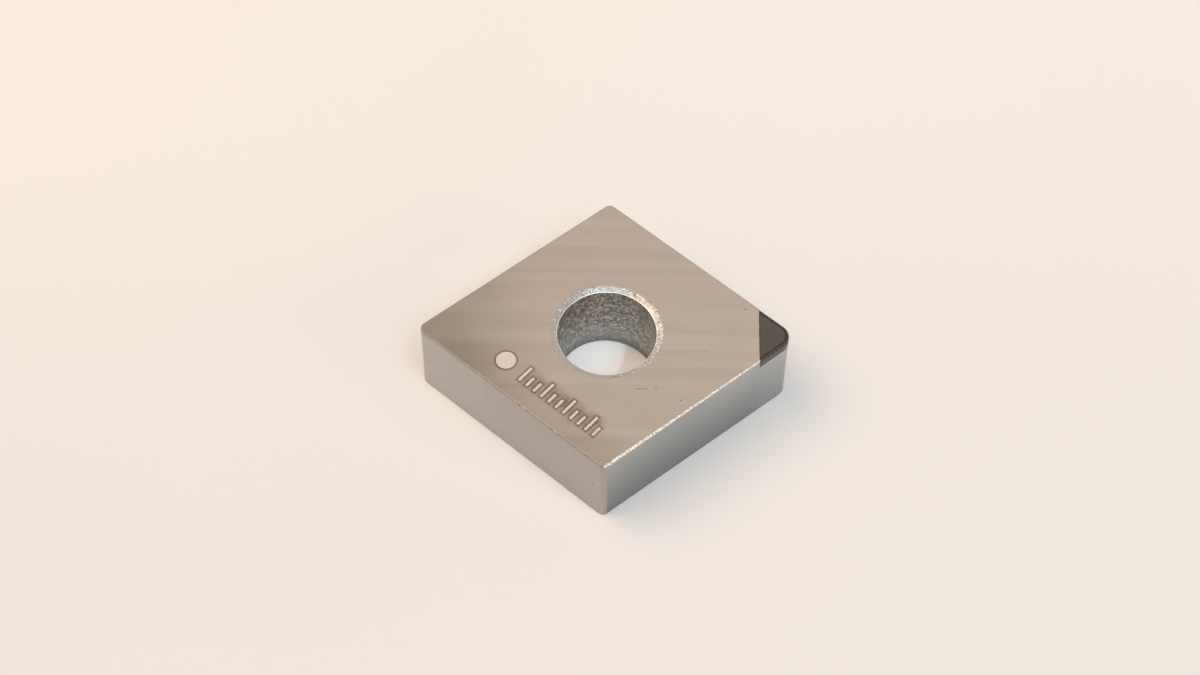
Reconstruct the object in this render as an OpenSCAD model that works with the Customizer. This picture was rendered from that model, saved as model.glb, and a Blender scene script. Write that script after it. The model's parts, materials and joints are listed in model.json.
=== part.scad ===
// Turning insert: an 80 degree rhombic carbide body with one brazed cubic boron nitride tip.
// The axis of the clamp bore is the Z axis, the seat face lies at z = 0 and the cutting corner points along +X.

/* [Insert outline] */
// Diameter of the circle that touches all four flanks
inscribed_d = 12.7; // [9.5:0.1:19.1]
// Angle between the two flanks that meet at the cutting corner
corner_angle = 80; // [55:1:88]
// Height from the seat face to the top face
thickness = 4.76; // [3.2:0.01:7.9]
// Radius of the cutting corner
nose_r = 0.8; // [0.4:0.1:1.6]
// Radius of the corner opposite the cutting corner
heel_r = 0.4; // [0.3:0.05:1.6]
// Radius of the two blunt corners
blunt_r = 0.35; // [0.3:0.05:1.6]
// Width of the 45 degree break on the ground carbide edges
edge_break = 0.08; // [0.02:0.01:0.15]

/* [Clamp bore] */
// Diameter of the straight wall of the bore
bore_d = 5.16; // [3:0.01:6]
// Width of the ring that opens each mouth of the bore, seen from above
mouth_w = 0.33; // [0.1:0.01:0.6]
// Depth of that ring
mouth_depth = 0.14; // [0.05:0.01:0.4]

/* [Cutting tip] */
// Length of the tip from its back face to the end of the cutting corner
tip_len = 1.48; // [1.2:0.01:3]
// Height of the tip below the top face
tip_h = 0.5; // [0.4:0.01:1.2]
// Width of the honed land along the cutting edge, seen from above
land_w = 0.16; // [0.05:0.01:0.25]
// Angle of that land below the top face
land_angle = 25; // [10:1:35]

/* [Braze joint] */
// Thickness of the filler under the tip and behind it
braze_t = 0.04; // [0.02:0.01:0.15]

/* [Hidden] */
$fn = 96;

// Corner 0 is the cutting corner, and the others follow counterclockwise seen from above
corner_r = [nose_r, blunt_r, heel_r, blunt_r];
flank_reach = inscribed_d / 2;
bore_r = bore_d / 2;
mouth_r = bore_r + mouth_w;
land_depth = land_w * tan(land_angle);
nose_x = (flank_reach - nose_r) / sin(half_angle(0)) + nose_r;
tip_back_x = nose_x - tip_len;
tip_floor_z = thickness - tip_h;
overcut = 1;
// Each corner arc is larger by this hair, so that it crosses the flanks and doesn't only touch them
arc_hair = 0.0002;

// Half of the angle between the flanks that meet at corner i
function half_angle(i) = i % 2 == 0 ? corner_angle / 2 : 90 - corner_angle / 2;

// Direction in which the flank after corner i faces, from +X
function flank_normal(i) = 90 * (i + 1) - half_angle(i);

// Section across a pair of parallel flanks: the seat edges are broken at 45 degrees,
// and the top edges have their own bevel
module bar_section(bevel_w, bevel_depth) {
    seat = flank_reach - edge_break;
    top = flank_reach - bevel_w;
    polygon([
        [-seat, 0], [seat, 0],
        [flank_reach, edge_break], [flank_reach, thickness - bevel_depth],
        [top, thickness], [-top, thickness],
        [-flank_reach, thickness - bevel_depth], [-flank_reach, edge_break]
    ]);
}

// Long bar between two parallel flanks, whose normal lies at the given angle from +X
module flank_bar(normal, bevel_w, bevel_depth) {
    length = 3 * inscribed_d;
    rotate([90, 0, normal])
        translate([0, 0, -length / 2])
            linear_extrude(length)
                bar_section(bevel_w, bevel_depth);
}

// What is ground away outside the arc at corner i, drawn on the -X side of the flank that follows it
module corner_waste(i, bevel_w, bevel_depth) {
    arc_r = corner_r[i] + arc_hair;
    inset = flank_reach - corner_r[i];
    sweep = 180 - 2 * half_angle(i);
    rotate([0, 0, flank_normal(i) + 180])
        translate([-inset, inset / tan(half_angle(i)), 0])
            difference() {
                translate([0, 0, -overcut])
                    linear_extrude(thickness + 2 * overcut)
                        polygon(flank_reach * [[0, 0], [-1, 0], [-cos(sweep), sin(sweep)]]);
                rotate_extrude()
                    polygon([
                        [0, 0], [arc_r - edge_break, 0],
                        [arc_r, edge_break], [arc_r, thickness - bevel_depth],
                        [arc_r - bevel_w, thickness], [0, thickness]
                    ]);
            }
}

// Rhombic blank with rounded corners, whose top edge has the given bevel all round
module blank(bevel_w, bevel_depth) {
    difference() {
        intersection() {
            flank_bar(flank_normal(0), bevel_w, bevel_depth);
            flank_bar(flank_normal(1), bevel_w, bevel_depth);
        }
        for (i = [0 : 3]) corner_waste(i, bevel_w, bevel_depth);
    }
}

// Everything in front of a wall across the cutting corner and above a floor
module corner_space(wall_x, floor_z) {
    translate([wall_x, -inscribed_d, floor_z])
        cube([inscribed_d, 2 * inscribed_d, thickness]);
}

module tip_pocket() {
    corner_space(tip_back_x - braze_t, tip_floor_z - braze_t);
}

// Clamp bore with a shallow ring at each mouth
module bore_space() {
    rotate_extrude()
        polygon([
            [0, -overcut],
            [mouth_r, -overcut],
            [mouth_r, 0],
            [bore_r, mouth_depth],
            [bore_r, thickness - mouth_depth],
            [mouth_r, thickness],
            [mouth_r, thickness + overcut],
            [0, thickness + overcut]
        ]);
}

// Ground carbide body with the pocket for the tip
module carbide_body() {
    color([0.64, 0.59, 0.53])
        difference() {
            blank(edge_break, edge_break);
            bore_space();
            tip_pocket();
        }
}

// Cubic boron nitride tip, flush with the top face and the flanks
module cbn_tip() {
    color([0.33, 0.30, 0.27])
        intersection() {
            blank(land_w, land_depth);
            corner_space(tip_back_x, tip_floor_z);
        }
}

// Filler that joins the tip to the floor and the back wall of its pocket
module braze_layer() {
    color([0.72, 0.66, 0.55])
        difference() {
            intersection() {
                blank(edge_break, edge_break);
                tip_pocket();
            }
            corner_space(tip_back_x, tip_floor_z);
        }
}

carbide_body();
cbn_tip();
braze_layer();
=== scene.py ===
import json
import math

import bmesh
import bpy
from mathutils import Matrix, Vector, geometry, noise


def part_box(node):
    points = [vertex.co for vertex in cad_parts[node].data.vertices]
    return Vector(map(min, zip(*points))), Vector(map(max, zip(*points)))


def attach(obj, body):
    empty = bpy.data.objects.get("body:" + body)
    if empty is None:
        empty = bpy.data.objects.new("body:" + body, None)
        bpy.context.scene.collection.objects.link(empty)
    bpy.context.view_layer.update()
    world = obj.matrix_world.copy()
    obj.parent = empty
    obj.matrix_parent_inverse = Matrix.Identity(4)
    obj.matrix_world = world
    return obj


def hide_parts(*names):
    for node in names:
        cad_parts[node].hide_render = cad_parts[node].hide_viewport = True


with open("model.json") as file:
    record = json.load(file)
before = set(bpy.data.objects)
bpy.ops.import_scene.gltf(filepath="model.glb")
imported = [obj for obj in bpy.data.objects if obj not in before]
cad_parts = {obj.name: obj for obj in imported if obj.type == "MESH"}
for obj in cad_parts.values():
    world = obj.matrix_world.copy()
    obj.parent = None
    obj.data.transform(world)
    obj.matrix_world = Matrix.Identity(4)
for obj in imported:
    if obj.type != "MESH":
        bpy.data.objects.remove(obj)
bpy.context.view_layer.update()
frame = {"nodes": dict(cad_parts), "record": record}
mm = 0.001
print("packed insert loaded")


# Driving sizes of the insert in millimetres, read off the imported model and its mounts
def readInsert():
    mounts = {mount["name"]: mount for mount in frame["record"]["mounts"]}
    bore = mounts["clamp_bore"]["dims"]
    flank = mounts["locating_flank_left"]
    bodyLow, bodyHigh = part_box("carbide_body")
    tipLow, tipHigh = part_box("cbn_tip")
    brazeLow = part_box("braze_layer")[0]
    halfAngle = math.atan2(-flank["axis"][0], flank["axis"][1])
    reach = math.hypot(flank["pos_m"][0], flank["pos_m"][1]) / mm
    halves = [halfAngle, math.pi / 2 - halfAngle]
    apexes = [tipHigh[0], bodyHigh[1], -bodyLow[0], -bodyLow[1]]
    cornerRadii = []
    for i, apex in enumerate(apexes):
        lean = 1 / math.sin(halves[i % 2])
        cornerRadii.append((reach * lean - apex / mm) / (lean - 1))
    return {
        "reach": reach,
        "halves": halves,
        "cornerRadii": cornerRadii,
        "thickness": bodyHigh[2] / mm,
        "boreRadius": bore["r_mm"],
        "mouthDepth": (bodyHigh[2] / mm - bore["length_mm"]) / 2,
        "tipBack": tipLow[0] / mm,
        "tipFloor": tipLow[2] / mm,
        "pocketWall": brazeLow[0] / mm,
        "pocketFloor": brazeLow[2] / mm,
    }


insert = readInsert()
top = insert["thickness"]


# Unit vector towards a place in the room, from its azimuth and elevation in degrees
def wayTowards(azimuth, elevation):
    turn, rise = math.radians(azimuth), math.radians(elevation)
    return Vector((math.cos(turn) * math.cos(rise), math.sin(turn) * math.cos(rise), math.sin(rise)))


# Camera at the photograph's angle, aimed at a point on the floor near the bore; lengths in millimetres
cameraView = {
    "azimuth": 0.527, "elevation": 56.006, "roll": 0.847, "distance": 142.296,
    "aim": (-0.3791, 2.8437, 0.0), "focalLength": 79.196, "sensor": 36.0, "clipMetres": (0.004, 20),
}


def placeCamera(view):
    back = wayTowards(view["azimuth"] - 90, view["elevation"])
    right = wayTowards(view["azimuth"], 0)
    upright = Matrix((right, back.cross(right), back)).transposed()
    turned = upright @ Matrix.Rotation(math.radians(view["roll"]), 3, "Z")
    place = (Vector(view["aim"]) + back * view["distance"]) * mm
    data = bpy.data.cameras.new("photoCamera")
    data.lens = view["focalLength"]
    data.sensor_width = view["sensor"]
    data.clip_start, data.clip_end = view["clipMetres"]
    camera = bpy.data.objects.new("photoCamera", data)
    camera.matrix_world = Matrix.Translation(place) @ turned.to_4x4()
    bpy.context.collection.objects.link(camera)
    bpy.context.scene.camera = camera


placeCamera(cameraView)


# Short ways to build a node tree. An input takes a plain value or the output of another node.
def setInputs(tree, node, values):
    for name, value in values.items():
        if isinstance(value, bpy.types.NodeSocket):
            tree.links.new(value, node.inputs[name])
        else:
            node.inputs[name].default_value = value


def addNode(tree, kind, values=None, **settings):
    node = tree.nodes.new(kind)
    for name, value in settings.items():
        setattr(node, name, value)
    setInputs(tree, node, values or {})
    return node


def splitVector(tree, vector):
    return addNode(tree, "ShaderNodeSeparateXYZ", {0: vector}).outputs


def objectAxes(tree):
    place = addNode(tree, "ShaderNodeTexCoord").outputs["Object"]
    return place, splitVector(tree, place)


def vectorMath(tree, operation, vector, other):
    return addNode(tree, "ShaderNodeVectorMath", {0: vector, 1: other}, operation=operation).outputs["Value"]


def mathNode(tree, operation, a, b):
    return addNode(tree, "ShaderNodeMath", {0: a, 1: b}, operation=operation).outputs[0]


def times(tree, a, b):
    return mathNode(tree, "MULTIPLY", a, b)


def mapRange(tree, value, low, high, toLow, toHigh, kind="LINEAR"):
    return addNode(tree, "ShaderNodeMapRange", {
        "Value": value, "From Min": low, "From Max": high, "To Min": toLow, "To Max": toHigh,
    }, interpolation_type=kind).outputs["Result"]


def easeRange(tree, value, low, high, toLow=0, toHigh=1):
    return mapRange(tree, value, low, high, toLow, toHigh, "SMOOTHSTEP")


# Change along an axis, given as its start and end in millimetres and its two values
def along(tree, axis, change, kind="SMOOTHSTEP"):
    start, end, first, last = change
    return mapRange(tree, axis, start * mm, end * mm, first, last, kind)


def mixColour(tree, factor, a, b, blend="MIX"):
    values = {"Factor": factor}
    for name, colour in (("A", a), ("B", b)):
        values[name] = (*colour, 1) if isinstance(colour, tuple) else colour
    return addNode(tree, "ShaderNodeMix", values, data_type="RGBA", blend_type=blend).outputs["Result"]


def tinted(tree, colour, shade):
    return mixColour(tree, 1.0, colour, shade, "MULTIPLY")


# Noise with its own scale along each axis. Its usual span of values is spread over two others.
noiseSpan = (0.3, 0.7)


def mapped(tree, vector, **values):
    return addNode(tree, "ShaderNodeMapping", {"Vector": vector, **values}).outputs["Vector"]


def stretchedNoise(tree, vector, scale, detail, roughness):
    return addNode(tree, "ShaderNodeTexNoise", {
        "Vector": mapped(tree, vector, Scale=scale), "Scale": 1.0, "Detail": detail, "Roughness": roughness,
    }).outputs["Fac"]


def evenNoise(tree, place, perMillimetre, detail=2.0, roughness=0.5):
    return stretchedNoise(tree, place, (perMillimetre / mm,) * 3, detail, roughness)


def spread(tree, pattern, low, high):
    return mapRange(tree, pattern, *noiseSpan, low, high)


def bumpFrom(tree, height, strength, distance):
    return addNode(tree, "ShaderNodeBump", {
        "Height": height, "Strength": strength, "Distance": distance,
    }).outputs["Normal"]


# Soft studio light: a wide warm lamp on the left, a wide cooler one high in front, a small one low on the
# right and two narrow spots into the bore, one cool and one warm. A lamp's level is what it adds to a white
# floor. It stands away from the insert in metres, and a spot's width and aim are in millimetres.
lamps = {
    "warmLamp": {"azimuth": 168, "elevation": 60, "away": 0.60, "size": 0.50, "level": (0.42, 0.305, 0.21)},
    "coolLamp": {"azimuth": -68, "elevation": 66, "away": 0.60, "size": 0.42, "level": (0.27, 0.305, 0.335)},
    "edgeLamp": {"azimuth": -27, "elevation": 26, "away": 0.45, "size": 0.09, "level": (0.03, 0.026, 0.022)},
    "boreSpot": {"azimuth": -52, "elevation": 58.5, "away": 0.07, "size": 0.006, "level": (0.31, 0.33, 0.34),
                 "width": 8.6, "aim": (0, 0, 4.76), "blend": 0.35},
    "boreGlow": {"azimuth": 172, "elevation": 60, "away": 0.07, "size": 0.008, "level": (0.42, 0.20, 0.07),
                 "width": 4.4, "aim": (-1.4, 0.2, 4.76), "blend": 0.35},
}

# What the eye and the metal see of the room: a pale backdrop that darkens towards the top and the left, with
# a cool patch high in front and the soft glow of a window behind on the left, fading between two angles
room = {
    "light": (0.335, 0.34, 0.34), "horizon": (0.87, 0.79, 0.71), "horizonRise": (0.1, 0.6),
    "skyDark": (0.43, 0.37, 0.315), "skyBright": (1.20, 1.01, 0.87), "skySlope": (0.62, 0.0, -0.78),
    "skySpan": (-0.75, -0.57), "frontSky": (0.71, 0.78, 0.77), "frontSpan": (0.22, -0.10),
    "frontRise": (0.6, 0.85), "window": (1.62, 1.50, 1.42), "windowPlace": (147, 38),
    "windowAngles": (32, 14),
}


def addLamp(name, look):
    direction = wayTowards(look["azimuth"], look["elevation"])
    strength = max(look["level"])
    energy = strength * (math.pi * look["away"]) ** 2 / math.sin(math.radians(look["elevation"]))
    isSpot = "width" in look
    data = bpy.data.lights.new(name, "SPOT" if isSpot else "AREA")
    if isSpot:
        data.shadow_soft_size = look["size"] / 2
        data.spot_size = 2 * math.atan(look["width"] / 2 * mm / look["away"])
        data.spot_blend = look["blend"]
        data.energy = 4 * energy
    else:
        data.shape = "DISK"
        data.size = look["size"]
        data.energy = energy
    data.color = [part / strength for part in look["level"]]
    lamp = bpy.data.objects.new(name, data)
    lamp.location = direction * look["away"] + Vector(look.get("aim", (0, 0, 0))) * mm
    lamp.rotation_mode = "QUATERNION"
    lamp.rotation_quaternion = direction.to_track_quat("Z", "Y")
    lamp.visible_camera = False
    lamp.visible_glossy = not isSpot
    bpy.context.collection.objects.link(lamp)


def lightRoom(look):
    world = bpy.data.worlds.new("paleRoom")
    bpy.context.scene.world = world
    world.use_nodes = True
    tree = world.node_tree
    tree.nodes.clear()
    direction = addNode(tree, "ShaderNodeTexCoord").outputs["Generated"]
    axes = splitVector(tree, direction)
    slope = vectorMath(tree, "DOT_PRODUCT", direction, look["skySlope"])
    brighter = easeRange(tree, slope, *look["skySpan"])
    sky = mixColour(tree, brighter, look["skyDark"], look["skyBright"])
    inFront = easeRange(tree, axes["Y"], *look["frontSpan"])
    high = easeRange(tree, axes["Z"], *look["frontRise"])
    sky = mixColour(tree, times(tree, inFront, high), sky, look["frontSky"])
    backdrop = mixColour(tree, easeRange(tree, axes["Z"], *look["horizonRise"]), look["horizon"], sky)
    towards = vectorMath(tree, "DOT_PRODUCT", direction, wayTowards(*look["windowPlace"]))
    rim, core = (math.cos(math.radians(angle)) for angle in look["windowAngles"])
    backdrop = mixColour(tree, easeRange(tree, towards, rim, core), backdrop, look["window"])
    rays = addNode(tree, "ShaderNodeLightPath").outputs
    seen = mathNode(tree, "MAXIMUM", rays["Is Camera Ray"], rays["Is Glossy Ray"])
    seen = mathNode(tree, "MAXIMUM", seen, rays["Is Transmission Ray"])
    shown = mixColour(tree, seen, look["light"], backdrop)
    background = addNode(tree, "ShaderNodeBackground", {"Color": shown})
    addNode(tree, "ShaderNodeOutputWorld", {"Surface": background.outputs["Background"]})


lightRoom(room)
for name, lamp in lamps.items():
    addLamp(name, lamp)
bpy.context.scene.view_settings.view_transform = "Standard"


# A material whose finish is a function that says what goes into the shader
def newMaterial(name, finish, *given):
    material = bpy.data.materials.new(name)
    material.use_nodes = True
    tree = material.node_tree
    setInputs(tree, tree.nodes["Principled BSDF"], finish(tree, *given))
    return material


# Ground carbide: fine lines along the lay of the grind, in wider soft streaks, counted per millimetre. The
# two flanks beside the tip are rougher, and their darker, bluer colour is painted shade.
groundLook = {
    "face": {"colour": (0.47, 0.43, 0.395), "roughness": 0.34, "lines": 22.0, "contrast": 0.07},
    "flank": {"colour": (0.415, 0.392, 0.374), "roughness": 0.32, "lines": 16.0, "contrast": 0.035},
    # Painted shade: the darker, bluer colour of the flanks beside the tip
    "paintedShadeFlank": {"colour": (0.375, 0.385, 0.385), "roughness": 0.42, "lines": 16.0, "contrast": 0.035},
    "lineLength": 0.10, "lineSpan": (0.25, 0.75), "lineDepth": 0.0000022, "anisotropy": 0.5,
    "streaks": 1.1, "streakLength": 0.03, "streakContrast": 0.4, "streakGloss": 0.03,
    "clouds": 0.35, "cloudShades": (0.98, 1.02),
    # Painted shade: the face is darker towards its far left end
    "paintedShadeEnd": (-7.8, -3.0, 0.78, 1),
    # Darker and yellower along the front left side
    "darkerFrontSide": (3.8, 6.3), "frontSideShade": (0.85, 0.83, 0.80),
    # Painted light: the flanks are paler towards the far corner
    "flankPaintedLight": (-9, -3, 1.12, 1.0),
    # Painted shade and light on the flanks beside the tip: darker at the foot, paler upwards and towards the
    # tip
    "paintedLightTowardsTip": (2, 9, 1.02, 1.15),
    "paintedFlankFootShade": (7.0, 9.2, 0.71, 0.95), "paintedFlankTopLight": 1.18,
    "flecks": (((-0.53, -7.84, 2.44), 0.085, (0.13, 0.115, 0.10)),
               ((-2.70, -6.02, 0.98), 0.07, (0.85, 0.80, 0.74))),
}
layName = "layOfGrind"


def groundCarbide(tree, part, look, acrossU, tint):
    lay = addNode(tree, "ShaderNodeUVMap", uv_map=layName).outputs["UV"]

    def scaleFor(across, along):
        return (across, along, 1) if acrossU else (along, across, 1)

    fine = stretchedNoise(tree, lay, scaleFor(part["lines"], look["lineLength"]), 4.0, 0.6)
    streak = stretchedNoise(tree, lay, scaleFor(look["streaks"], look["streakLength"]), 3.0, 0.5)
    cloud = stretchedNoise(tree, lay, (look["clouds"], look["clouds"], 1), 2.0, 0.5)
    contrast, gloss = part["contrast"], look["streakGloss"]
    softer = contrast * look["streakContrast"]
    shade = times(tree, mapRange(tree, fine, *look["lineSpan"], 1 - contrast, 1 + contrast),
                  spread(tree, streak, 1 - softer, 1 + softer))
    shade = times(tree, shade, spread(tree, cloud, *look["cloudShades"]))
    tangent = addNode(tree, "ShaderNodeTangent", direction_type="UV_MAP", uv_map=layName)
    return {
        "Base Color": tint(tree, tinted(tree, part["colour"], shade)),
        "Roughness": spread(tree, streak, part["roughness"] - gloss, part["roughness"] + gloss),
        "Normal": bumpFrom(tree, fine, 1.0, look["lineDepth"]), "Tangent": tangent.outputs["Tangent"],
        "Metallic": 1, "Anisotropic": look["anisotropy"], "Anisotropic Rotation": 0.0 if acrossU else 0.25,
    }


# Etched scale beside the front left edge, in millimetres: plain bars, every third one longer, and a round
# dot. Their floor is pale and rough, and the laser leaves a brown heat tint round them.
etchLook = {
    "bars": 11, "pitch": 0.50, "barWidth": 0.15, "barLength": 1.0, "shortShare": 0.62, "longEvery": 3,
    "rowStart": (-4.45, -3.12), "rowAngle": -40.0, "dot": (-5.15, -1.90), "dotSize": 1.05, "dotSides": 40,
    "depth": 0.010, "wall": 0.012,
    "floor": {"colour": (0.66, 0.588, 0.515), "shades": (0.82, 1.08), "grain": 18, "octaves": (3.0, 0.6),
              "grainDepth": 0.000004, "metallic": 0.25, "roughness": 0.55},
    "scorch": (0.085, 0.06, 0.042), "scorchReach": 0.15, "scorchPower": 1.1, "scorchPatches": 6.0,
    "scorchShares": (0.6, 1.0),
    "cloud": (0.27, 0.205, 0.15), "cloudEdge": 0.34, "cloudAmount": 0.90, "cloudPatches": 2.2,
    "cloudShares": (0.3, 1.0),
}


# Heat tint: close to what is etched it follows an attribute of the mesh, and a faint cloud lies along the row
def heatTint(tree, place, colour, look):
    start = tuple(-part * mm for part in (*look["rowStart"], 0))
    moved = mapped(tree, place, Location=start)
    turned = mapped(tree, moved, Rotation=(0, 0, -math.radians(look["rowAngle"])), Scale=(1 / mm,) * 3)
    axes = splitVector(tree, turned)
    shares = []
    for axis, half in (("X", look["pitch"] * (look["bars"] - 1) / 2), ("Y", look["barLength"] / 2)):
        off = mathNode(tree, "ABSOLUTE", mathNode(tree, "SUBTRACT", axes[axis], half), 0)
        shares.append(easeRange(tree, off, half - look["cloudEdge"], half + look["cloudEdge"], 1, 0))
    patches = spread(tree, evenNoise(tree, place, look["cloudPatches"]), *look["cloudShares"])
    cloud = times(tree, times(tree, *shares), patches)
    clouded = mixColour(tree, times(tree, cloud, look["cloudAmount"]), colour, look["cloud"])
    near = addNode(tree, "ShaderNodeAttribute", attribute_name="heatTint").outputs["Fac"]
    uneven = spread(tree, evenNoise(tree, place, look["scorchPatches"]), *look["scorchShares"])
    strength = times(tree, mathNode(tree, "POWER", near, look["scorchPower"]), uneven)
    return mixColour(tree, strength, clouded, look["scorch"])


# Painted shade: the face is darker at its far left end. It is also darker and yellower along the front left
# side.
def faceTint(tree, colour):
    half = insert["halves"][0]
    place, axes = objectAxes(tree)
    shaded = tinted(tree, colour, along(tree, axes["X"], groundLook["paintedShadeEnd"]))
    outward = vectorMath(tree, "DOT_PRODUCT", place, (-math.sin(half) / mm, -math.cos(half) / mm, 0))
    amount = easeRange(tree, outward, *groundLook["darkerFrontSide"])
    sideTone = mixColour(tree, amount, (1, 1, 1), groundLook["frontSideShade"])
    return heatTint(tree, place, tinted(tree, shaded, sideTone), etchLook)


# Painted light: the flanks away from the tip are a little paler towards the far corner. They carry a few
# small flecks.
def flankTint(tree, colour):
    place, axes = objectAxes(tree)
    flecked = tinted(tree, colour, along(tree, axes["X"], groundLook["flankPaintedLight"]))
    for middle, radius, fleck in groundLook["flecks"]:
        away = vectorMath(tree, "DISTANCE", place, tuple(part * mm for part in middle))
        flecked = mixColour(tree, easeRange(tree, away, radius * mm, radius * mm / 2), flecked, fleck)
    return flecked


# Painted shade on the flanks beside the tip: darker at the foot, a little paler upwards and towards the tip
def paintedFlankShade(tree, colour):
    axes = objectAxes(tree)[1]
    foot = along(tree, axes["X"], groundLook["paintedFlankFootShade"])
    rise = mapRange(tree, axes["Z"], 0, top * mm, foot, groundLook["paintedFlankTopLight"])
    return tinted(tree, colour, times(tree, rise, along(tree, axes["X"], groundLook["paintedLightTowardsTip"])))


def newGround(name, part, *given):
    return newMaterial(name, groundCarbide, groundLook[part], groundLook, *given)


faceGround = newGround("faceGroundCarbide", "face", False, faceTint)
flankGround = newGround("flankGroundCarbide", "flank", True, flankTint)
flankWithPaintedShade = newGround("paintedShadeFlankCarbide", "paintedShadeFlank", True, paintedFlankShade)

# Freshly broken carbide of the mouth rings, the bore's lip and the broken edge, bright and grainy. The mouth
# ring has painted shade, darker towards the back and lighter at the front. The other edges are only dulled,
# and read as a thin darker line.
brokenGrain = {"grain": 8.5, "octaves": (3.0, 0.6), "grainDepth": 0.0000055, "metallic": 1}
brokenLook = {
    # Painted shade on the mouth ring: darker towards the back, lighter at the front
    "brightMouthRing": dict(brokenGrain, colour=(0.425, 0.422, 0.415), roughness=0.34, shades=(0.86, 1.12),
                            paintedShadeRamp=(-2.8, 2.8, 1.11, 0.75)),
    "brightBrokenEdge": dict(brokenGrain, colour=(0.585, 0.54, 0.49), roughness=0.34, shades=(0.82, 1.24)),
    "boreLip": dict(brokenGrain, colour=(0.80, 0.77, 0.72), roughness=0.28, shades=(0.86, 1.12)),
    "dullEdge": dict(brokenGrain, colour=(0.31, 0.285, 0.26), roughness=0.55, shades=(0.66, 1.28), grain=10.0,
                     grainDepth=0.000004),
}

# Small pits and the hairline scratch on the top face: place, half width and depth in millimetres
markLook = {
    "pits": ((2.58, -3.46, 0.04), (7.17, 1.61, 0.035), (5.14, -1.04, 0.028), (3.86, -4.11, 0.035)),
    "pitSides": 9, "pitUneven": 0.35, "pitFloor": 0.45,
    "scratch": ((1.43, -3.475), (1.62, -3.467), (1.80, -3.474), (2.02, -3.462), (2.20, -3.468)),
    "scratchWidth": 0.022, "scratchFloor": 0.3, "depth": 0.012,
    "finish": {"colour": (0.075, 0.06, 0.05), "shades": (0.7, 1.3), "grain": 20, "octaves": (2.0, 0.5),
               "metallic": 0.4, "roughness": 0.65},
}


# Carbide with a fine even grain in its colour and, where it has a depth, in its surface
def grainyCarbide(tree, look):
    place, axes = objectAxes(tree)
    grain = evenNoise(tree, place, look["grain"], *look["octaves"])
    shade = spread(tree, grain, *look["shades"])
    # Painted shade: darker towards the back, lighter at the front
    if "paintedShadeRamp" in look:
        shade = times(tree, shade, along(tree, axes["Y"], look["paintedShadeRamp"], "LINEAR"))
    finish = {"Metallic": look["metallic"], "Roughness": look["roughness"]}
    if "grainDepth" in look:
        finish["Normal"] = bumpFrom(tree, grain, 0.6, look["grainDepth"])
    return {**finish, "Base Color": tinted(tree, look["colour"], shade)}


etchedMark = newMaterial("etchedMark", grainyCarbide, etchLook["floor"])
darkPit = newMaterial("darkPit", grainyCarbide, markLook["finish"])
brightRing, brightEdge, boreLip, dullEdge = (
    newMaterial(name, grainyCarbide, look) for name, look in brokenLook.items()
)


# As-sintered bore wall: dull grey with paler crystals of two sizes in millimetres, calmer at the foot and on
# the near side. Painted shade darkens its foot and its upper left and painted light brightens its right, and
# a painted reflection makes it warmer at the top and bluer at the bottom. Coarser lumps stand a little proud
# of it.
sinteredLook = {
    "dark": (0.18, 0.17, 0.155), "pale": (0.66, 0.635, 0.60), "evenAmount": 0.42,
    "coarse": {"size": 0.125, "channel": "Red", "span": (0.30, 0.95), "amounts": (0.0, 1.0)},
    "fine": {"size": 0.0625, "channel": "Green", "span": (0.1, 0.9), "amounts": (0.6, 1.3)}, "flatness": 0.78,
    "clouds": 2.0, "cloudSpan": (0.32, 0.68), "cloudAmounts": (0.6, 1.25),
    "grain": 6.0, "grainStretch": 1.6, "grainAmounts": (-0.08, 0.20), "grainDepth": 0.000012,
    # Painted reflection: warmer at the top, bluer at the bottom. Painted shade at the foot and on the upper
    # left, painted light on the right.
    "upper": (0.93, 0.90, 0.85), "lower": (1.01, 1.08, 1.11), "riseFrom": 0.3, "leftRise": (0.25, 0.75),
    "foot": (0, 1.1, 0.48, 1),
    "paintedShadeLeft": 0.70, "paintedLightRight": 1.10, "sideFrom": -2.2,
    "speckleUp": (0.2, 2.2, 0.35, 1),
    "speckleBack": (0.6, 2.3, 0.38, 0.82),
    "metallic": 0.7, "roughness": 0.55,
    # Painted shade: the lumps darken towards the foot, as the wall does
    "lumps": {"colour": (0.56, 0.525, 0.50), "shadow": (0.32, 0.29, 0.27), "patches": 3.5,
              "span": (0.38, 0.62), "rise": (0.6, 2, 0, 1), "metallic": 0.7, "roughness": 0.45},
}


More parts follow.
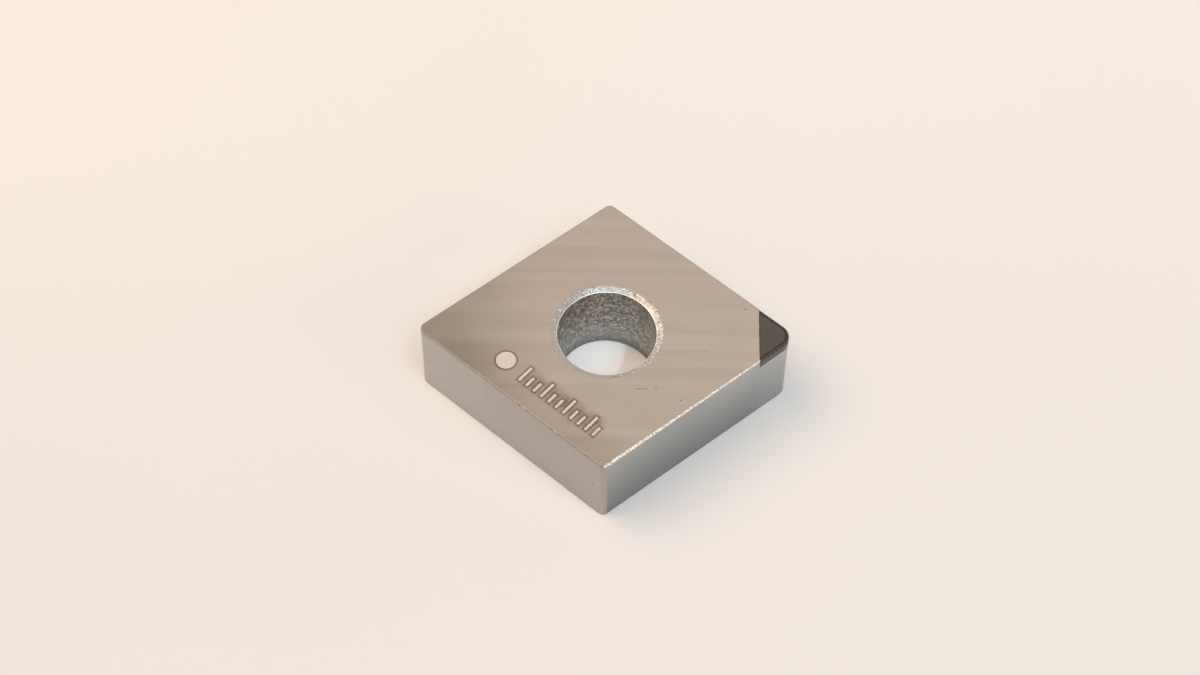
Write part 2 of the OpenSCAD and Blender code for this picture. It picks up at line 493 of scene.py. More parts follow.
def sinteredCarbide(tree, look):
    place, axes = objectAxes(tree)

    def crystals(kind):
        size = kind["size"] * mm
        scaled = mapped(tree, place, Scale=(1 / size, 1 / size, look["flatness"] / size))
        cells = addNode(tree, "ShaderNodeTexVoronoi", {"Vector": scaled, "Scale": 1.0})
        parts = addNode(tree, "ShaderNodeSeparateColor", {0: cells.outputs["Color"]})
        return mapRange(tree, parts.outputs[kind["channel"]], *kind["span"], *kind["amounts"])

    clouds = evenNoise(tree, place, look["clouds"])
    fineness = look["grain"] / mm
    grain = stretchedNoise(tree, place, (fineness, fineness, fineness / look["grainStretch"]), 2.0, 0.5)
    amount = times(tree, times(tree, crystals(look["coarse"]), crystals(look["fine"])),
                   mapRange(tree, clouds, *look["cloudSpan"], *look["cloudAmounts"]))
    amount = mathNode(tree, "ADD", amount, spread(tree, grain, *look["grainAmounts"]))
    strong = times(tree, along(tree, axes["Z"], look["speckleUp"]),
                   along(tree, axes["Y"], look["speckleBack"]))
    uneven = times(tree, mathNode(tree, "SUBTRACT", amount, look["evenAmount"]), strong)
    speckled = mixColour(tree, mathNode(tree, "ADD", uneven, look["evenAmount"]), look["dark"], look["pale"])
    # Painted reflection, shade and light: tint by height, darker foot, darker upper left, lighter right
    rise = mapRange(tree, axes["Z"], look["riseFrom"] * mm, top * mm, 0, 1)
    left = mapRange(tree, rise, *look["leftRise"], 1, look["paintedShadeLeft"])
    side = easeRange(tree, axes["X"], look["sideFrom"] * mm, 0, left, look["paintedLightRight"])
    shade = times(tree, along(tree, axes["Z"], look["foot"]), side)
    tint = tinted(tree, mixColour(tree, rise, look["lower"], look["upper"]), shade)
    return {
        "Base Color": tinted(tree, speckled, tint), "Normal": bumpFrom(tree, grain, 0.7, look["grainDepth"]),
        "Metallic": look["metallic"], "Roughness": look["roughness"],
    }


def sinteredGrain(tree, look):
    place, axes = objectAxes(tree)
    patches = mapRange(tree, evenNoise(tree, place, look["patches"], 2.0, 0.6), *look["span"], 0, 1)
    # Painted shade: darker towards the foot
    amount = times(tree, patches, along(tree, axes["Z"], look["rise"], "LINEAR"))
    return {
        "Base Color": mixColour(tree, amount, look["shadow"], look["colour"]),
        "Metallic": look["metallic"], "Roughness": look["roughness"],
    }


boreWallFinish = newMaterial("asSinteredBoreWall", sinteredCarbide, sinteredLook)
wallGrain = newMaterial("sinteredGrain", sinteredGrain, sinteredLook["lumps"])


# Boron nitride: dark brown-grey and satin, with a faint grind
nitrideLook = {
    "nitrideFace": {"colour": (0.046, 0.035, 0.028), "roughness": 0.36, "shine": 0.75},
    "nitrideLand": {"colour": (0.054, 0.044, 0.038), "roughness": 0.55, "shine": 0.35},
    "nitrideLandLine": {"colour": (0.018, 0.013, 0.010), "roughness": 0.55, "shine": 0.2},
    "nitrideFlank": {"colour": (0.057, 0.051, 0.045), "roughness": 0.36, "shine": 0.75},
}
nitrideGrind = {"lines": 20.0, "lineLength": 0.3, "lineShades": (0.85, 1.15), "lineDepth": 0.0000015,
                "grain": 9.0, "grainShades": (0.74, 1.26)}


def boronNitride(tree, part, grind):
    place = objectAxes(tree)[0]
    lines = stretchedNoise(tree, place, (grind["lineLength"] / mm, grind["lines"] / mm, 1 / mm), 3.0, 0.6)
    grain = evenNoise(tree, place, grind["grain"], 2.0, 0.6)
    shade = times(tree, spread(tree, lines, *grind["lineShades"]), spread(tree, grain, *grind["grainShades"]))
    return {
        "Base Color": tinted(tree, part["colour"], shade),
        "Normal": bumpFrom(tree, lines, 0.8, grind["lineDepth"]),
        "Roughness": part["roughness"], "Specular IOR Level": part["shine"],
    }


nitrideFinishes = [newMaterial(name, boronNitride, part, nitrideGrind) for name, part in nitrideLook.items()]
print("finishes ready")


# Geometry Nodes: a tree with named inputs, its last steps, and its result as a plain mesh. Then a mesh from a
# draft, and a new object.
def newTree(name, inputs):
    tree = bpy.data.node_groups.new(name, "GeometryNodeTree")
    tree.interface.new_socket("Geometry", in_out="INPUT", socket_type="NodeSocketGeometry")
    for label, kind in inputs.items():
        tree.interface.new_socket(label, in_out="INPUT", socket_type="NodeSocket" + kind)
    tree.interface.new_socket("Geometry", in_out="OUTPUT", socket_type="NodeSocketGeometry")
    return tree, addNode(tree, "NodeGroupInput").outputs


def endTree(tree, grown, material):
    realized = addNode(tree, "GeometryNodeRealizeInstances", {"Geometry": grown})
    finished = addNode(tree, "GeometryNodeSetMaterial", {
        "Geometry": realized.outputs["Geometry"], "Material": material,
    })
    addNode(tree, "NodeGroupOutput", {"Geometry": finished.outputs["Geometry"]})


def growMesh(tree, carrier, values):
    modifier = carrier.modifiers.new(tree.name, "NODES")
    modifier.node_group = tree
    sockets = {item.name: item.identifier for item in tree.interface.items_tree if item.in_out == "INPUT"}
    for label, value in values.items():
        modifier[sockets[label]] = value
    evaluated = carrier.evaluated_get(bpy.context.evaluated_depsgraph_get())
    data = bpy.data.meshes.new_from_object(evaluated)
    carrier.modifiers.remove(modifier)
    return data


def meshFrom(name, draft):
    data = bpy.data.meshes.new(name)
    draft.to_mesh(data)
    draft.free()
    return data


def newObject(name, data):
    made = bpy.data.objects.new(name, data)
    bpy.context.collection.objects.link(made)
    return made


# Row of flat rectangular bars, in millimetres: each one an outline that is then cut into the top face
def etchedRowTree():
    tree, given = newTree("etchedRow", {
        "Count": "Int", "Pitch": "Float", "Bar width": "Float", "Bar length": "Float", "Shrink": "Float",
        "Short share": "Float", "Long every": "Int", "Start": "Vector", "Angle": "Float",
        "Material": "Material",
    })
    index = addNode(tree, "GeometryNodeInputIndex").outputs[0]
    isShort = mathNode(tree, "GREATER_THAN", mathNode(tree, "MODULO", index, given["Long every"]), 0.5)
    fullLength = times(tree, given["Bar length"], mapRange(tree, isShort, 0, 1, 1, given["Short share"]))
    spare = times(tree, given["Shrink"], 2)
    size = addNode(tree, "ShaderNodeCombineXYZ", {
        "X": mathNode(tree, "SUBTRACT", given["Bar width"], spare),
        "Y": mathNode(tree, "SUBTRACT", fullLength, spare), "Z": 1,
    })
    step = addNode(tree, "ShaderNodeCombineXYZ", {"X": given["Pitch"]})
    row = addNode(tree, "GeometryNodeMeshLine", {
        "Count": given["Count"], "Offset": step.outputs[0],
    }, mode="OFFSET")
    outline = addNode(tree, "GeometryNodeCurvePrimitiveQuadrilateral", {"Width": 1, "Height": 1})
    filled = addNode(tree, "GeometryNodeFillCurve", {"Curve": outline.outputs["Curve"]}, mode="NGONS")
    placed = addNode(tree, "GeometryNodeInstanceOnPoints", {
        "Points": row.outputs["Mesh"], "Instance": filled.outputs["Mesh"], "Scale": size.outputs[0],
    })
    shift = addNode(tree, "ShaderNodeCombineXYZ", {"Y": times(tree, fullLength, 0.5)})
    moved = addNode(tree, "GeometryNodeTranslateInstances", {
        "Instances": placed.outputs["Instances"], "Translation": shift.outputs[0], "Local Space": False,
    })
    spin = addNode(tree, "ShaderNodeCombineXYZ", {"Z": given["Angle"]})
    turned = addNode(tree, "GeometryNodeTransform", {
        "Geometry": moved.outputs["Instances"], "Translation": given["Start"], "Rotation": spin.outputs[0],
    })
    endTree(tree, turned.outputs["Geometry"], given["Material"])
    return tree


# Outlines of what is etched, each as the reach of its heat tint, its rim and a slightly smaller floor
def etchedOutlines(look):
    tree = etchedRowTree()
    carrier = newObject("etchedRow", bpy.data.meshes.new("etchedRow"))
    values = {
        "Count": look["bars"], "Pitch": look["pitch"], "Bar width": look["barWidth"],
        "Bar length": look["barLength"], "Short share": look["shortShare"], "Long every": look["longEvery"],
        "Start": (*look["rowStart"], 0.0), "Angle": math.radians(look["rowAngle"]), "Material": etchedMark,
    }
    dot = Vector(look["dot"])
    turns = [2 * math.pi * k / look["dotSides"] for k in range(look["dotSides"])]
    sets = []
    for shrink in (-look["scorchReach"], 0.0, look["wall"]):
        data = growMesh(tree, carrier, {**values, "Shrink": shrink})
        loops = [[data.vertices[k].co.xy.copy() for k in bar.vertices] for bar in data.polygons]
        radius = look["dotSize"] / 2 - shrink
        loops.append([dot + Vector((math.cos(turn), math.sin(turn))) * radius for turn in turns])
        sets.append(loops)
    bpy.data.objects.remove(carrier)
    return list(zip(*sets))


# Outline of the insert, seen from above: a point, its outward normal and the way travelled for each column.
# The flanks are counted from the tip, anticlockwise, and one of them is broken along its top edge.
outlineLook = {"arcStep": 0.035, "flankStep": 0.06, "brokenFlankStep": 0.03, "brokenFlank": 3,
               "brokenFrom": 0.5}


def outlineColumns(look):
    radii = insert["cornerRadii"]
    centres = []
    for i, radius in enumerate(radii):
        away = (insert["reach"] - radius) / math.sin(insert["halves"][i % 2])
        centres.append(Vector((math.cos(i * math.pi / 2), math.sin(i * math.pi / 2))) * away)
    columns = []
    travelled = 0.0
    for i, radius in enumerate(radii):
        onBroken = i == look["brokenFlank"]
        sweep = math.pi / 2 - insert["halves"][i % 2]
        steps = math.ceil(2 * sweep * radius / look["arcStep"])
        for k in range(steps + 1):
            angle = i * math.pi / 2 - sweep + 2 * sweep * k / steps
            normal = Vector((math.cos(angle), math.sin(angle)))
            columns.append({
                "point": centres[i] + normal * radius, "normal": normal, "travel": travelled, "wall": False,
                "flank": i if onBroken and k >= steps * look["brokenFrom"] else None, "share": k / steps - 1,
            })
            travelled += 2 * sweep * radius / steps
        start = columns[-1]["point"]
        after = (i + 1) % len(radii)
        way = centres[after] + normal * radii[after] - start
        direction = way / way.length
        step = look["brokenFlankStep"] if onBroken else look["flankStep"]
        count = math.ceil(way.length / step)
        stops = [way.length * k / count for k in range(1, count)]
        wallStop = None
        if direction.x and 0 < (insert["pocketWall"] - start.x) / direction.x < way.length:
            wallStop = (insert["pocketWall"] - start.x) / direction.x
            stops = sorted([stop for stop in stops if abs(stop - wallStop) > step / 2] + [wallStop])
        for stop in stops:
            columns.append({
                "point": start + direction * stop, "normal": normal, "travel": travelled + stop,
                "wall": stop == wallStop, "flank": i, "share": stop / way.length,
            })
        travelled += way.length
    return columns


# The point of a column at a distance inside the outline, or the point of that inner line at a given x
def insetPoint(column, inset, x=None):
    if x is None:
        return column["point"] - column["normal"] * inset
    return Vector((x, (insert["reach"] - inset - x * column["normal"].x) / column["normal"].y))


# Mesh under construction in millimetres. A ring is a list of corners, each with its place in the lay.
def cornersOf(ring):
    return [corner for corner, _ in ring]


class MeshDraft:
    def __init__(self):
        self.mesh = bmesh.new()
        self.lay = self.mesh.loops.layers.uv.new(layName)
        self.heatTint = self.mesh.verts.layers.float.new("heatTint")

    def corner(self, x, y, z):
        return self.mesh.verts.new((x * mm, y * mm, z * mm))

    def face(self, corners, finish, smooth, lays):
        face = self.mesh.faces.new(corners)
        face.material_index = finish
        face.smooth = smooth
        for loop, lay in zip(face.loops, lays):
            loop[self.lay].uv = lay

    # Face whose lay follows two of the axes
    def plainFace(self, corners, finish, axes=(0, 1), smooth=False):
        self.face(corners, finish, smooth, [[corner.co[axis] / mm for axis in axes] for corner in corners])

    # Faces between two rings. A closed pair of rings says how long the way around it is.
    def band(self, low, high, finishFor, around=None):
        count = len(low)
        for k in range(count if around else count - 1):
            after = (k + 1) % count
            quad = [low[k], low[after], high[after], high[k]]
            lays = [lay for _, lay in quad]
            if after == 0:
                lays = [lays[0], (around, lays[1][1]), (around, lays[2][1]), lays[3]]
            self.face(cornersOf(quad), *finishFor(k), lays)

    def piece(self, name, finishes, sharpAngle):
        bmesh.ops.recalc_face_normals(self.mesh, faces=self.mesh.faces)
        openEdges = [edge for edge in self.mesh.edges if len(edge.link_faces) != 2]
        for edge in self.mesh.edges:
            if len(edge.link_faces) == 2 and edge.calc_face_angle() > math.radians(sharpAngle):
                edge.smooth = False
        print(name, len(self.mesh.faces), "faces,", len(openEdges), "open edges")
        data = meshFrom(name, self.mesh)
        for finish in finishes:
            data.materials.append(finish)
        return newObject(name, data)


# Rough surfaces: a lumpy one, and one of crystals that are each a small flat facet with its own tilt. The
# tilts depend on their seed, which stays fixed, and each other seed moves the pattern a good way aside.
tiltSeed = 11
tiltSpread = 5.7
seedSteps = (17.3, -5.1)
noise.seed_set(tiltSeed)


def seededPlace(x, y, z, size, seed):
    return Vector((x / size + seed * seedSteps[0], y / size + seed * seedSteps[1], z / size))


def grainAt(x, y, z, size, seed):
    return noise.noise(seededPlace(x, y, z, size, seed))


def facetAt(x, y, z, size, seed):
    place = seededPlace(x, y, z, size, seed)
    crystal = noise.voronoi(place)[1][0]
    return noise.noise_vector(crystal * tiltSpread).dot(place - crystal) * size


# Hollows in the top face: loops of points with their height and heat tint, and the finish inside the rim
def etchHollows(look):
    hollows = []
    for reach, rim, floor in etchedOutlines(look):
        loops = [(reach, 0.0, 0.0), (rim, 0.0, 1.0), (floor, -look["depth"], 1.0)]
        hollows.append({"loops": loops, "rim": rim, "finish": "etched"})
    return hollows


def pitHollows(look):
    hollows = []
    for x, y, radius in look["pits"]:
        loops = []
        for share, depth in ((1.0, 0.0), (look["pitFloor"], -look["depth"])):
            loop = []
            for k in range(look["pitSides"]):
                turn = 2 * math.pi * k / look["pitSides"]
                way = Vector((math.cos(turn), math.sin(turn)))
                uneven = 1 + look["pitUneven"] * noise.noise(Vector((x * 3 + way.x, y * 3 + way.y, 0)))
                loop.append(Vector((x, y)) + way * radius * share * uneven)
            loops.append((loop, depth, 0.0))
        hollows.append({"loops": loops, "rim": loops[0][0], "finish": "pit"})
    line = [Vector(point) for point in look["scratch"]]
    loops = []
    for share, depth in ((1.0, 0.0), (look["scratchFloor"], -look["depth"])):
        aside = Vector((0, look["scratchWidth"] / 2 * share))
        under = [point - aside for point in line[1:-1]]
        over = [point + aside for point in reversed(line[1:-1])]
        ends = [near.lerp(far, (1 - share) / 4) for near, far in (line[:2], line[:-3:-1])]
        loops.append((ends[:1] + under + ends[1:] + over, depth, 0.0))
    hollows.append({"loops": loops, "rim": loops[0][0], "finish": "pit"})
    return hollows


def isInside(point, loop):
    inside = False
    for k, here in enumerate(loop):
        after = loop[(k + 1) % len(loop)]
        if (here.y > point.y) != (after.y > point.y):
            if point.x < here.x + (point.y - here.y) / (after.y - here.y) * (after.x - here.x):
                inside = not inside
    return inside


# Fills a flat face between an outer and an inner loop of corners, with hollows in it
def fillFlat(draft, outer, inner, height, finishes, hollows=()):
    corners = outer + inner
    flat = [Vector((corner.co.x / mm, corner.co.y / mm)) for corner in corners]
    states = [(0.0, 0.0)] * len(flat)
    counts = [len(outer), len(inner)]
    for hollow in hollows:
        for loop, rise, tint in hollow["loops"]:
            flat += loop
            states += [(rise, tint)] * len(loop)
            counts.append(len(loop))
    edges = []
    for count in counts:
        first = len(edges)
        edges += [(first + k, first + (k + 1) % count) for k in range(count)]
    points, _, triangles, sources, _, _ = geometry.delaunay_2d_cdt(flat, edges, [], 1, 1e-7)
    made = []
    for point, (source, *_) in zip(points, sources):
        if source < len(corners):
            made.append(corners[source])
        else:
            rise, tint = states[source]
            made.append(draft.corner(point.x, point.y, height + rise))
            made[-1][draft.heatTint] = tint
    for triangle in triangles:
        middle = sum((points[k] for k in triangle), Vector((0, 0))) / 3
        turn = math.atan2(middle.y, middle.x) % (2 * math.pi)
        k = int(turn / (2 * math.pi) * len(inner)) % len(inner)
        start, end = flat[len(outer) + k], flat[len(outer) + (k + 1) % len(inner)]
        if (end - start).cross(middle - start) > 0:
            continue
        inside = [hollow["finish"] for hollow in hollows if isInside(middle, hollow["rim"])]
        finish = finishes[inside[-1] if inside else "face"]
        draft.face([made[k] for k in triangle], finish, False, [points[k][:2] for k in triangle])


# Carbide body in millimetres: its edge breaks, the grainy ring at each mouth of the bore and the lumpy wall
# between. Each wave, jag and lump has a size, a share of the height and a seed.
bodyLook = {
    "edgeBreak": 0.06, "brokenEdge": (0.130, 0.066), "edgeFall": 0.55, "edgeRows": 4, "edgeTilt": 0.8,
    "edgeCrystal": 0.08, "edgeWaves": ((0.35, 0.14, 3.7), (0.09, 0.40, 8.1)), "leastBreak": 0.001,
    "mouthWidth": 0.33, "lipWidth": 0.035, "lipRows": 3, "ringRows": 10, "ringTilt": 0.34,
    "ringCrystal": 0.14, "ringJag": 0.05, "ringJags": ((0.12, 1, 1), (0.06, 0.9, 2)), "jagFade": 2.5,
    "boreColumns": 480, "wallRows": 80, "wallStretch": 1.3, "wallFadeRows": 3, "wallLump": 0.0045,
    "wallLumps": ((0.13, 1, 5), (0.13 / 2.2, 0.3, 6)),
    "pocketSteps": 60, "pocketBreak": 0.025, "pocketWear": 0.5, "pocketWearSize": 0.12, "sharpAngle": 30,
}


# Rounded edge break: how far it lies inside and below the sharp edge at an angle of its arc
def breakArc(width, angle):
    return width * (1 - math.sin(angle)), width * (1 - math.cos(angle))


# Profile of a mouth from the face inwards: radius, depth, kind of row and share of the ring's width
def mouthProfile(look):
    radius, depth, lip = insert["boreRadius"], insert["mouthDepth"], look["lipWidth"]
    slope = depth / look["mouthWidth"]
    rows = []
    for k in range(look["ringRows"] + 1):
        share = k / look["ringRows"]
        inset = (look["mouthWidth"] - lip) * share
        rows.append((radius + look["mouthWidth"] - inset, inset * slope, "ring", share))
    for k in range(1, look["lipRows"] + 1):
        turn = math.radians(90) * k / look["lipRows"]
        inside, below = breakArc(lip, turn)
        rows.append((radius + inside, depth - lip * slope + below, "lip", 0))
    return rows


def mouthRing(draft, look, turns, row, side):
    radius, depth, kind, share = row
    ring = []
    for turn in turns:
        x, y = math.cos(turn) * radius, math.sin(turn) * radius
        jag = drop = 0.0
        if kind == "ring":
            jag = sum(part * grainAt(x, y, side * 9, size, seed) for size, part, seed in look["ringJags"])
            jag *= look["ringJag"] * (1 - share) ** look["jagFade"]
            if 0 < share < 1:
                drop = look["ringTilt"] * facetAt(x, y, side * 4, look["ringCrystal"], 3)
                drop = max(drop, look["leastBreak"] - depth)
        z = top - depth - drop if side == 1 else depth + drop
        corner = draft.corner(math.cos(turn) * (radius + jag), math.sin(turn) * (radius + jag), z)
        ring.append((corner, (turn * insert["boreRadius"], z)))
    return ring


def wallRing(draft, look, turns, z, fade):
    radius = insert["boreRadius"]
    ring = []
    for turn in turns:
        x, y, tall = math.cos(turn) * radius, math.sin(turn) * radius, z / look["wallStretch"]
        lump = sum(part * grainAt(x, y, tall, size, seed) for size, part, seed in look["wallLumps"])
        here = radius + fade * look["wallLump"] * lump
        ring.append((draft.corner(math.cos(turn) * here, math.sin(turn) * here, z), (turn * radius, z)))
    return ring


def buildBore(draft, look, finishes):
    columns, count = look["boreColumns"], look["wallRows"]
    turns = [2 * math.pi * k / columns for k in range(columns)]
    profile = mouthProfile(look)
    lipEnd = profile[-1][1]
    rings = [(row[2], mouthRing(draft, look, turns, row, 1)) for row in profile]
    for row in range(1, count):
        z = top - lipEnd - (top - 2 * lipEnd) * row / count
        fade = min(1.0, row / look["wallFadeRows"], (count - row) / look["wallFadeRows"])
        rings.append(("wall", wallRing(draft, look, turns, z, fade)))
    rings += [(row[2], mouthRing(draft, look, turns, row, -1)) for row in profile[::-1]]
    around = 2 * math.pi * insert["boreRadius"]
    for (kind, upper), (nextKind, lower) in zip(rings, rings[1:]):
        kinds = {kind, nextKind}
        name = "ring" if kinds == {"ring"} else "wall" if "wall" in kinds else "lip"
        draft.band(upper, lower, lambda k: (finishes[name], name != "ring"), around)
    return cornersOf(rings[0][1]), cornersOf(rings[-1][1])


# Width of the top edge's break at a column: even, or wider and wavy along the broken flank
def edgeWidth(column, look):
    if column["flank"] != outlineLook["brokenFlank"]:
        return look["edgeBreak"]
    atFront, atTip = look["brokenEdge"]
    width = atFront + (atTip - atFront) * column["share"]
    if column["share"] < 0:
        grown = 1 + column["share"] / (1 - outlineLook["brokenFrom"])
        width = look["edgeBreak"] + (atFront - look["edgeBreak"]) * grown
    wave = 1
    for size, part, seed in look["edgeWaves"]:
        wave += part * noise.noise(Vector((column["travel"] / size, seed, 0)))
    return width * wave


def topEdgeRing(draft, columns, look, row, angle):
    ring = []
    for column in columns:
        width = edgeWidth(column, look)
        inset, down = breakArc(width, angle)
        if column["flank"] == outlineLook["brokenFlank"]:
            share = row / look["edgeRows"]
            inset, down = width * share, width * (1 - share) * look["edgeFall"]
            if 0 < share < 1:
                place = column["point"]
                inset += look["edgeTilt"] * facetAt(place.x, place.y, down, look["edgeCrystal"], 8)
                down += look["edgeTilt"] * facetAt(place.x, place.y, inset, look["edgeCrystal"], 9)
                inset, down = max(inset, look["leastBreak"]), max(down, look["leastBreak"])
        point = insetPoint(column, inset, insert["pocketWall"] if column["wall"] else None)
        ring.append((draft.corner(point.x, point.y, top - down), (column["travel"], top - down)))
    return ring


def flatRing(draft, columns, inset, z):
    ring = []
    for column in columns:
        point = insetPoint(column, inset)
        ring.append((draft.corner(point.x, point.y, z), (column["travel"], z)))
    return ring


# Pocket for the tip: its floor, its wall and the small worn break at the top of the wall
def buildPocket(draft, look, finish, floorRing, upper, last):
    first = last - len(upper[0]) + 1
    floorCorners = cornersOf(floorRing[last:] + floorRing[:first + 1])
    draft.plainFace(floorCorners, finish["flank"])
    leftTop, rightTop = upper[-1][0][0], upper[-1][-1][0]
    wallTop, wallEdge = [], []
    for k in range(1, look["pocketSteps"]):
        y = (leftTop.co.y + (rightTop.co.y - leftTop.co.y) * k / look["pocketSteps"]) / mm
        wear = 1 + look["pocketWear"] * noise.noise(Vector((y / look["pocketWearSize"], 1.3, 0.4)))
        breakHere = look["pocketBreak"] * wear
        wallTop.append(draft.corner(insert["pocketWall"] - breakHere, y, top))
        wallEdge.append(draft.corner(insert["pocketWall"], y, top - breakHere))
    outer = [leftTop] + wallTop + [rightTop]
    inner = [leftTop] + wallEdge + [rightTop]
    for k in range(len(outer) - 1):
        corners = list(dict.fromkeys((outer[k], outer[k + 1], inner[k + 1], inner[k])))
        draft.plainFace(corners, finish["bright"], smooth=True)
    wallCorners = [floorRing[last][0]] + [ring[-1][0] for ring in upper] + wallEdge[::-1]
    wallCorners += [ring[0][0] for ring in upper[::-1]] + [floorRing[first][0]]
    draft.plainFace(wallCorners, finish["flank"], (1, 2))
    return wallTop


def buildBody(look):
    materials = {
        "face": faceGround, "flank": flankGround, "paintedShadeFlank": flankWithPaintedShade, "edge": dullEdge,
        "bright": brightEdge, "ring": brightRing, "lip": boreLip, "wall": boreWallFinish,
        "etched": etchedMark, "pit": darkPit,
    }
    finish = {name: k for k, name in enumerate(materials)}
    draft = MeshDraft()
    columns = outlineColumns(outlineLook)
    around = columns[-1]["travel"] + (columns[-1]["point"] - columns[0]["point"]).length
    arc = [math.pi / 2 * k / look["edgeRows"] for k in range(look["edgeRows"] + 1)]
    lower = [flatRing(draft, columns, *breakArc(look["edgeBreak"], angle)) for angle in arc]
    floorRing = flatRing(draft, columns, 0, insert["pocketFloor"])

    # Above the pocket floor the corner is cut away: the columns run from one end of the wall to the other
    first, last = [k for k, column in enumerate(columns) if column["wall"]]
    kept = columns[first:last + 1]
    upper = [topEdgeRing(draft, kept, look, row, angle) for row, angle in enumerate(reversed(arc))]

    def flankKind(column):
        return finish["paintedShadeFlank" if column["normal"].x > 0.5 else "flank"], True

    def breakKind(column):
        isBroken = column["flank"] == outlineLook["brokenFlank"]
        return finish["bright" if isBroken else "edge"], not isBroken

    for low, high in zip(lower, lower[1:]):
        draft.band(low, high, lambda k: (finish["edge"], True), around)
    draft.band(lower[-1], floorRing, lambda k: flankKind(columns[k]), around)
    draft.band(floorRing[first:last + 1], upper[0], lambda k: flankKind(kept[k]))
    for low, high in zip(upper, upper[1:]):
        draft.band(low, high, lambda k: breakKind(kept[k]))
    ringTop, ringSeat = buildBore(draft, look, finish)
    wallTop = buildPocket(draft, look, finish, floorRing, upper, last)
    hollows = etchHollows(etchLook) + pitHollows(markLook)
    fillFlat(draft, cornersOf(upper[-1]) + wallTop[::-1], ringTop, top, finish, hollows)
    fillFlat(draft, cornersOf(lower[0]), ringSeat, 0.0, finish)
    return draft.piece("carbide_body_ground", materials.values(), look["sharpAngle"])


body = buildBody(bodyLook)
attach(body, "root")
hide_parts("carbide_body")
print("carbide body built")


# Coarse grains scattered over the bore wall, sizes in millimetres
grainLook = {"perSquareMillimetre": 7.0, "seed": 11, "smallest": (0.05, 0.045, 0.014),
             "largest": (0.15, 0.12, 0.042), "clearOfMouth": 0.30, "tubeSides": 96}


def scatteredGrainsTree():
    tree, given = newTree("scatteredGrains", {
        "Density": "Float", "Seed": "Int", "Smallest": "Vector", "Largest": "Vector", "Material": "Material",
    })
    points = addNode(tree, "GeometryNodeDistributePointsOnFaces", {
        "Mesh": given["Geometry"], "Density": given["Density"], "Seed": given["Seed"],
    }, distribute_method="RANDOM").outputs
    grain = addNode(tree, "GeometryNodeMeshIcoSphere", {"Radius": 1.0, "Subdivisions": 1})
    size = addNode(tree, "FunctionNodeRandomValue", {
        0: given["Smallest"], 1: given["Largest"], "Seed": given["Seed"],
    }, data_type="FLOAT_VECTOR")
    placed = addNode(tree, "GeometryNodeInstanceOnPoints", {
        "Points": points["Points"], "Rotation": points["Rotation"], "Instance": grain.outputs["Mesh"],
        "Scale": size.outputs[0],
    })
    endTree(tree, placed.outputs["Instances"], given["Material"])
    return tree


def buildGrains(look):
    tube = bmesh.new()
    bmesh.ops.create_cone(tube, segments=look["tubeSides"], radius1=insert["boreRadius"] * mm,
                          radius2=insert["boreRadius"] * mm, depth=(top - 2 * look["clearOfMouth"]) * mm)
    bmesh.ops.translate(tube, verts=tube.verts, vec=(0, 0, top / 2 * mm))
    bmesh.ops.reverse_faces(tube, faces=tube.faces)
    carrier = newObject("boreTube", meshFrom("boreTube", tube))
    grains = growMesh(scatteredGrainsTree(), carrier, {
        "Density": look["perSquareMillimetre"] / mm ** 2, "Seed": look["seed"],
        "Smallest": tuple(part * mm for part in look["smallest"]),
        "Largest": tuple(part * mm for part in look["largest"]), "Material": wallGrain,
    })
    bpy.data.objects.remove(carrier)
    grains.name = "bore_wall_grains"
    print("bore_wall_grains", len(grains.polygons), "faces")
    return newObject("bore_wall_grains", grains)


grains = buildGrains(grainLook)
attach(grains, "root")


# Boron nitride tip, in millimetres: a honed land round the cutting corner, with slightly rounded edges and a
# dark line at its foot and its rim
tipLook = {"landWidth": 0.16, "landAngle": 25, "landShares": (0.4, 0.80), "rimShare": 1.15, "hone": 0.018,
           "honeRows": 3, "footLine": 0.05, "backGap": 0.02, "sharpAngle": 12}


# Profile of the tip from its floor to the top face: distance inside the outline, and height
def tipProfile(look):
    floor, hone, slope = insert["tipFloor"], look["hone"], math.radians(look["landAngle"])
    honeFoot = top - look["landWidth"] * math.tan(slope) - hone
    rows = [(0.0, floor), (0.0, floor + look["footLine"]), (0.0, honeFoot)]
    for k in range(1, look["honeRows"] + 1):
        angle = (math.pi / 2 - slope) * k / look["honeRows"]
        rows.append((hone * (1 - math.cos(angle)), honeFoot + hone * math.sin(angle)))
    startInset, startZ = rows[-1]
    rise = top - startZ
    run = rise / math.tan(slope)
    rows += [(startInset + run * share, startZ + rise * share) for share in look["landShares"]]
    rows.append((startInset + run * look["rimShare"], top))
    return rows


def buildTip(look):
    draft = MeshDraft()
    face, land, line, flank = range(len(nitrideFinishes))
    back = insert["tipBack"]
    columns = [column for column in outlineColumns(outlineLook) if column["point"].x > back + look["backGap"]]
    columns.sort(key=lambda column: math.atan2(column["point"].y, column["point"].x - back))
    rings = []
    for inset, z in tipProfile(look):
        points = [insetPoint(columns[0], inset, back)] + [insetPoint(column, inset) for column in columns]
        points.append(insetPoint(columns[-1], inset, back))
        rings.append([(draft.corner(point.x, point.y, z), (point.y, z)) for point in points])
    finishes = [line, flank] + [land] * (len(rings) - 4) + [line]
    for finish, low, high in zip(finishes, rings, rings[1:]):
        draft.band(low, high, lambda k: (finish, True))
    for ring in (rings[0], rings[-1]):
        draft.plainFace(cornersOf(ring), face)
    draft.plainFace([ring[0][0] for ring in rings] + [ring[-1][0] for ring in rings[::-1]], face, (1, 2))
    return draft.piece("cbn_tip_honed", nitrideFinishes, look["sharpAngle"])


tip = buildTip(tipLook)
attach(tip, "root")
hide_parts("cbn_tip")
print("tip built")


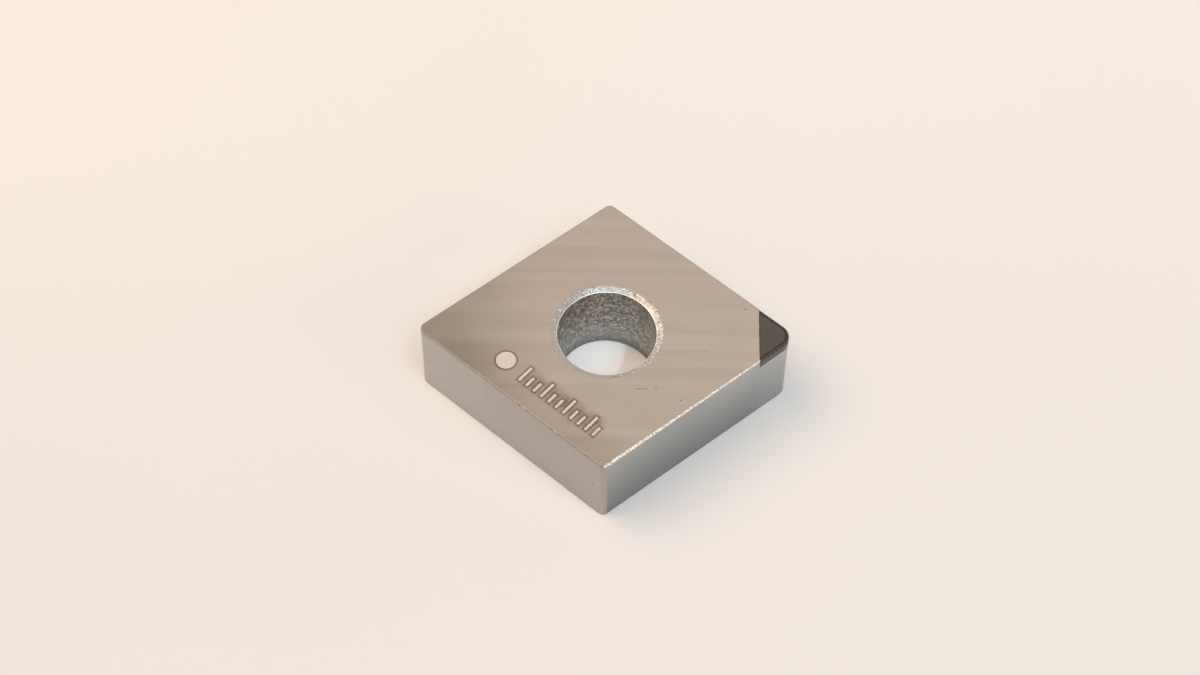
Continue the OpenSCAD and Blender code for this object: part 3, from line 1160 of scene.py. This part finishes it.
# Braze line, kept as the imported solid: tarnished silver filler
brazeLook = {"colour": (0.06, 0.042, 0.030), "pale": (0.22, 0.175, 0.13), "paleSpan": (0.45, 0.75),
             "grain": 9.0, "grainDepth": 0.000004, "metallic": 0.8, "roughness": 0.4}


def tarnishedBraze(tree, look):
    grain = evenNoise(tree, objectAxes(tree)[0], look["grain"], 3.0, 0.55)
    amount = mapRange(tree, grain, *look["paleSpan"], 0.0, 1.0)
    return {
        "Base Color": mixColour(tree, amount, look["colour"], look["pale"]),
        "Normal": bumpFrom(tree, grain, 0.5, look["grainDepth"]),
        "Metallic": look["metallic"], "Roughness": look["roughness"],
    }


brazeNode = frame["nodes"]["braze_layer"]
brazeNode.data.materials.clear()
brazeNode.data.materials.append(newMaterial("tarnishedBraze", tarnishedBraze, brazeLook))


# Pale paper floor with painted shade, a little darker in front and greyer on the left; places in metres
floorLook = {
    "radius": 1.2, "sides": 64, "near": (0.91, 0.885, 0.865), "far": (0.985, 0.95, 0.905),
    "farSpan": (-0.014, 0.030), "left": (1.0, 0.975, 0.955), "leftSpan": (-0.030, 0.015), "clouds": 25,
    "cloudShades": (0.99, 1.01), "roughness": 0.85, "shine": 0.2,
}


def palePaper(tree, look):
    place, axes = objectAxes(tree)
    # Painted shade: darker in front and greyer on the left
    paper = mixColour(tree, easeRange(tree, axes["Y"], *look["farSpan"]), look["near"], look["far"])
    across = easeRange(tree, axes["X"], *look["leftSpan"], 1, 0)
    paper = tinted(tree, paper, mixColour(tree, across, (1, 1, 1), look["left"]))
    clouds = stretchedNoise(tree, place, (look["clouds"],) * 3, 2.0, 0.5)
    return {
        "Base Color": tinted(tree, paper, spread(tree, clouds, *look["cloudShades"])),
        "Roughness": look["roughness"], "Specular IOR Level": look["shine"],
    }


def buildFloor(look):
    draft = bmesh.new()
    bmesh.ops.create_circle(draft, cap_ends=True, segments=look["sides"], radius=look["radius"])
    floor = newObject("paleFloor", meshFrom("paleFloor", draft))
    floor.data.materials.append(newMaterial("palePaper", palePaper, look))


buildFloor(floorLook)
